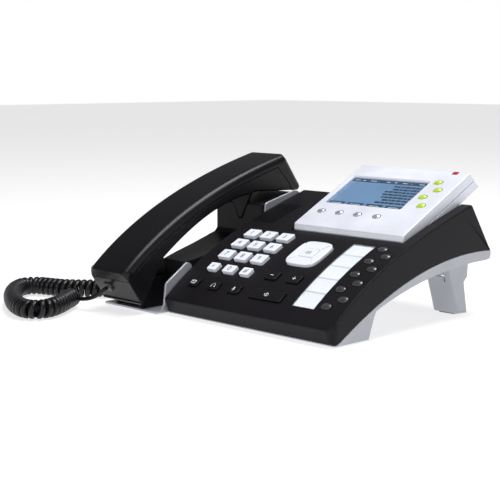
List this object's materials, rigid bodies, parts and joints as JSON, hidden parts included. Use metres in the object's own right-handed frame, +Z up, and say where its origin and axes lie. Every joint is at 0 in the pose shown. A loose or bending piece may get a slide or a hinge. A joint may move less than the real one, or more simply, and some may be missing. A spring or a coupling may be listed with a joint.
{
  "type": "desk ip phone",
  "caption": "Desk IP phone: arched black console on a silver casing, tilting display, sprung keys, and a curly-corded handset on a side cradle.",
  "frame": {"origin": "on the table, under the middle of the phone's box without its handset cord", "axes": "+X to the user's right, +Y away from the user, +Z up"},
  "size_m": [0.3269, 0.2792, 0.1175],
  "materials": {
    "silver_casing": "satin silver-painted moulding",
    "silver_tray": "satin silver paint",
    "black_cover": "fine-textured black moulding",
    "black_handset": "satin black moulding",
    "white_key": "satin white moulded key",
    "black_key": "satin black moulded key",
    "speed_key": "smoky translucent key",
    "silver_key": "satin silver key",
    "lime_key": "translucent lime key",
    "display_white": "satin silver-white moulding",
    "lcd_glass": "blue-grey liquid crystal panel",
    "red_lens": "translucent red lens",
    "label_card": "printed card strip",
    "label_window": "clear moulded window",
    "rubber": "matt rubber",
    "screw_steel": "zinc-plated steel",
    "circuit_board": "green solder mask",
    "speaker_black": "paper cone and steel frame",
    "socket_black": "moulded socket",
    "cord_black": "satin vinyl cord",
    "plug_clear": "smoky clear plug"
  },
  "bodies": {
    "base": {"base_shell": "silver_casing", "top_cover": "black_cover", "cradle_deck": "black_cover", "cradle_tray": "silver_tray", "label_card": "label_card", "label_window": "label_window", "rear_stand": "silver_casing", "rubber_feet": "rubber", "housing_screws": "screw_steel", "main_board": "circuit_board", "loudspeaker": "speaker_black", "network_jack": "socket_black", "power_jack": "socket_black", "cord_coil": "cord_black", "cord_lead": "cord_black"},
    "handset": {"handset_outer_shell": "black_handset", "handset_inner_shell": "black_handset", "handset_plug": "plug_clear"},
    "hook": {"hook_switch": "black_cover"},
    "display": {"display_bezel": "display_white", "display_back": "display_white", "lcd_panel": "lcd_glass", "led_lens": "red_lens"},
    "key_1": {"key_1": "white_key"},
    "key_2": {"key_2": "white_key"},
    "key_3": {"key_3": "white_key"},
    "key_4": {"key_4": "white_key"},
    "key_5": {"key_5": "white_key"},
    "key_6": {"key_6": "white_key"},
    "key_7": {"key_7": "white_key"},
    "key_8": {"key_8": "white_key"},
    "key_9": {"key_9": "white_key"},
    "key_star": {"key_star": "white_key"},
    "key_0": {"key_0": "white_key"},
    "key_hash": {"key_hash": "white_key"},
    "navigation_ring": {"navigation_ring": "white_key"},
    "menu_key": {"menu_key": "white_key"},
    "message_key": {"message_key": "black_key"},
    "headset_key": {"headset_key": "black_key"},
    "mute_key": {"mute_key": "black_key"},
    "speaker_key": {"speaker_key": "black_key"},
    "volume_down_key": {"volume_down_key": "black_key"},
    "volume_up_key": {"volume_up_key": "black_key"},
    "speed_key_1": {"speed_key_1": "speed_key"},
    "speed_key_2": {"speed_key_2": "speed_key"},
    "speed_key_3": {"speed_key_3": "speed_key"},
    "speed_key_4": {"speed_key_4": "speed_key"},
    "speed_key_5": {"speed_key_5": "speed_key"},
    "speed_key_6": {"speed_key_6": "speed_key"},
    "speed_key_7": {"speed_key_7": "speed_key"},
    "speed_key_8": {"speed_key_8": "speed_key"},
    "speed_key_9": {"speed_key_9": "speed_key"},
    "soft_key_1": {"soft_key_1": "silver_key"},
    "soft_key_2": {"soft_key_2": "silver_key"},
    "soft_key_3": {"soft_key_3": "silver_key"},
    "soft_key_4": {"soft_key_4": "silver_key"},
    "line_key_1": {"line_key_1": "lime_key"},
    "line_key_2": {"line_key_2": "lime_key"},
    "line_key_3": {"line_key_3": "lime_key"},
    "line_key_4": {"line_key_4": "lime_key"}
  },
  "joints": [
    {"name": "handset_lift", "type": "slide", "parent": "base", "child": "handset", "axis": [0, 0, 1], "range_m": [0, 0.09]},
    {"name": "hook_rise", "type": "slide", "parent": "base", "child": "hook", "axis": [0, 0, 1], "range_m": [0, 0.004]},
    {"name": "display_tilt", "type": "hinge", "parent": "base", "child": "display", "pos_m": [0.0547, 0.019, 0.0615], "axis": [1, 0, 0], "range_deg": [-9, 10]},
    {"name": "key_1_press", "type": "slide", "parent": "base", "child": "key_1", "axis": [0, 0.4014, -0.9159], "range_m": [0, 0.0012], "stiffness_N_per_m": 400, "springref_m": -0.0005},
    {"name": "key_2_press", "type": "slide", "parent": "base", "child": "key_2", "axis": [0, 0.4014, -0.9159], "range_m": [0, 0.0012], "stiffness_N_per_m": 400, "springref_m": -0.0005},
    {"name": "key_3_press", "type": "slide", "parent": "base", "child": "key_3", "axis": [0, 0.4014, -0.9159], "range_m": [0, 0.0012], "stiffness_N_per_m": 400, "springref_m": -0.0005},
    {"name": "key_4_press", "type": "slide", "parent": "base", "child": "key_4", "axis": [0, 0.4407, -0.8976], "range_m": [0, 0.0012], "stiffness_N_per_m": 400, "springref_m": -0.0005},
    {"name": "key_5_press", "type": "slide", "parent": "base", "child": "key_5", "axis": [0, 0.4407, -0.8976], "range_m": [0, 0.0012], "stiffness_N_per_m": 400, "springref_m": -0.0005},
    {"name": "key_6_press", "type": "slide", "parent": "base", "child": "key_6", "axis": [0, 0.4407, -0.8976], "range_m": [0, 0.0012], "stiffness_N_per_m": 400, "springref_m": -0.0005},
    {"name": "key_7_press", "type": "slide", "parent": "base", "child": "key_7", "axis": [0, 0.4859, -0.874], "range_m": [0, 0.0012], "stiffness_N_per_m": 400, "springref_m": -0.0005},
    {"name": "key_8_press", "type": "slide", "parent": "base", "child": "key_8", "axis": [0, 0.4859, -0.874], "range_m": [0, 0.0012], "stiffness_N_per_m": 400, "springref_m": -0.0005},
    {"name": "key_9_press", "type": "slide", "parent": "base", "child": "key_9", "axis": [0, 0.4859, -0.874], "range_m": [0, 0.0012], "stiffness_N_per_m": 400, "springref_m": -0.0005},
    {"name": "key_star_press", "type": "slide", "parent": "base", "child": "key_star", "axis": [0, 0.5362, -0.8441], "range_m": [0, 0.0012], "stiffness_N_per_m": 400, "springref_m": -0.0005},
    {"name": "key_0_press", "type": "slide", "parent": "base", "child": "key_0", "axis": [0, 0.5362, -0.8441], "range_m": [0, 0.0012], "stiffness_N_per_m": 400, "springref_m": -0.0005},
    {"name": "key_hash_press", "type": "slide", "parent": "base", "child": "key_hash", "axis": [0, 0.5362, -0.8441], "range_m": [0, 0.0012], "stiffness_N_per_m": 400, "springref_m": -0.0005},
    {"name": "navigation_ring_press", "type": "slide", "parent": "base", "child": "navigation_ring", "axis": [0, 0.4416, -0.8972], "range_m": [0, 0.001], "stiffness_N_per_m": 400, "springref_m": -0.0005},
    {"name": "menu_key_press", "type": "slide", "parent": "base", "child": "menu_key", "axis": [0, 0.4416, -0.8972], "range_m": [0, 0.001], "stiffness_N_per_m": 400, "springref_m": -0.0005},
    {"name": "message_key_press", "type": "slide", "parent": "base", "child": "message_key", "axis": [0, 0.5957, -0.8032], "range_m": [0, 0.001], "stiffness_N_per_m": 400, "springref_m": -0.0005},
    {"name": "headset_key_press", "type": "slide", "parent": "base", "child": "headset_key", "axis": [0, 0.5957, -0.8032], "range_m": [0, 0.001], "stiffness_N_per_m": 400, "springref_m": -0.0005},
    {"name": "mute_key_press", "type": "slide", "parent": "base", "child": "mute_key", "axis": [0, 0.5957, -0.8032], "range_m": [0, 0.001], "stiffness_N_per_m": 400, "springref_m": -0.0005},
    {"name": "speaker_key_press", "type": "slide", "parent": "base", "child": "speaker_key", "axis": [0, 0.5957, -0.8032], "range_m": [0, 0.001], "stiffness_N_per_m": 400, "springref_m": -0.0005},
    {"name": "volume_down_key_press", "type": "slide", "parent": "base", "child": "volume_down_key", "axis": [0, 0.5321, -0.8467], "range_m": [0, 0.001], "stiffness_N_per_m": 400, "springref_m": -0.0005},
    {"name": "volume_up_key_press", "type": "slide", "parent": "base", "child": "volume_up_key", "axis": [0, 0.5321, -0.8467], "range_m": [0, 0.001], "stiffness_N_per_m": 400, "springref_m": -0.0005},
    {"name": "speed_key_1_press", "type": "slide", "parent": "base", "child": "speed_key_1", "axis": [0, 0.5961, -0.8029], "range_m": [0, 0.001], "stiffness_N_per_m": 400, "springref_m": -0.0005},
    {"name": "speed_key_2_press", "type": "slide", "parent": "base", "child": "speed_key_2", "axis": [0, 0.5381, -0.8429], "range_m": [0, 0.001], "stiffness_N_per_m": 400, "springref_m": -0.0005},
    {"name": "speed_key_3_press", "type": "slide", "parent": "base", "child": "speed_key_3", "axis": [0, 0.4842, -0.8749], "range_m": [0, 0.001], "stiffness_N_per_m": 400, "springref_m": -0.0005},
    {"name": "speed_key_4_press", "type": "slide", "parent": "base", "child": "speed_key_4", "axis": [0, 0.4362, -0.8998], "range_m": [0, 0.001], "stiffness_N_per_m": 400, "springref_m": -0.0005},
    {"name": "speed_key_5_press", "type": "slide", "parent": "base", "child": "speed_key_5", "axis": [0, 0.395, -0.9187], "range_m": [0, 0.001], "stiffness_N_per_m": 400, "springref_m": -0.0005},
    {"name": "speed_key_6_press", "type": "slide", "parent": "base", "child": "speed_key_6", "axis": [0, 0.5679, -0.8231], "range_m": [0, 0.001], "stiffness_N_per_m": 400, "springref_m": -0.0005},
    {"name": "speed_key_7_press", "type": "slide", "parent": "base", "child": "speed_key_7", "axis": [0, 0.5116, -0.8592], "range_m": [0, 0.001], "stiffness_N_per_m": 400, "springref_m": -0.0005},
    {"name": "speed_key_8_press", "type": "slide", "parent": "base", "child": "speed_key_8", "axis": [0, 0.4604, -0.8877], "range_m": [0, 0.001], "stiffness_N_per_m": 400, "springref_m": -0.0005},
    {"name": "speed_key_9_press", "type": "slide", "parent": "base", "child": "speed_key_9", "axis": [0, 0.4155, -0.9096], "range_m": [0, 0.001], "stiffness_N_per_m": 400, "springref_m": -0.0005},
    {"name": "soft_key_1_press", "type": "slide", "parent": "display", "child": "soft_key_1", "axis": [0, 0.4586, -0.8886], "range_m": [0, 0.0008], "stiffness_N_per_m": 400, "springref_m": -0.0005},
    {"name": "soft_key_2_press", "type": "slide", "parent": "display", "child": "soft_key_2", "axis": [0, 0.4586, -0.8886], "range_m": [0, 0.0008], "stiffness_N_per_m": 400, "springref_m": -0.0005},
    {"name": "soft_key_3_press", "type": "slide", "parent": "display", "child": "soft_key_3", "axis": [0, 0.4586, -0.8886], "range_m": [0, 0.0008], "stiffness_N_per_m": 400, "springref_m": -0.0005},
    {"name": "soft_key_4_press", "type": "slide", "parent": "display", "child": "soft_key_4", "axis": [0, 0.4586, -0.8886], "range_m": [0, 0.0008], "stiffness_N_per_m": 400, "springref_m": -0.0005},
    {"name": "line_key_1_press", "type": "slide", "parent": "display", "child": "line_key_1", "axis": [0, 0.4586, -0.8886], "range_m": [0, 0.0008], "stiffness_N_per_m": 400, "springref_m": -0.0005},
    {"name": "line_key_2_press", "type": "slide", "parent": "display", "child": "line_key_2", "axis": [0, 0.4586, -0.8886], "range_m": [0, 0.0008], "stiffness_N_per_m": 400, "springref_m": -0.0005},
    {"name": "line_key_3_press", "type": "slide", "parent": "display", "child": "line_key_3", "axis": [0, 0.4586, -0.8886], "range_m": [0, 0.0008], "stiffness_N_per_m": 400, "springref_m": -0.0005},
    {"name": "line_key_4_press", "type": "slide", "parent": "display", "child": "line_key_4", "axis": [0, 0.4586, -0.8886], "range_m": [0, 0.0008], "stiffness_N_per_m": 400, "springref_m": -0.0005}
  ],
  "couplings": [
    {"joint": "hook_rise", "follows": "handset_lift", "ratio": 0.04}
  ]
}
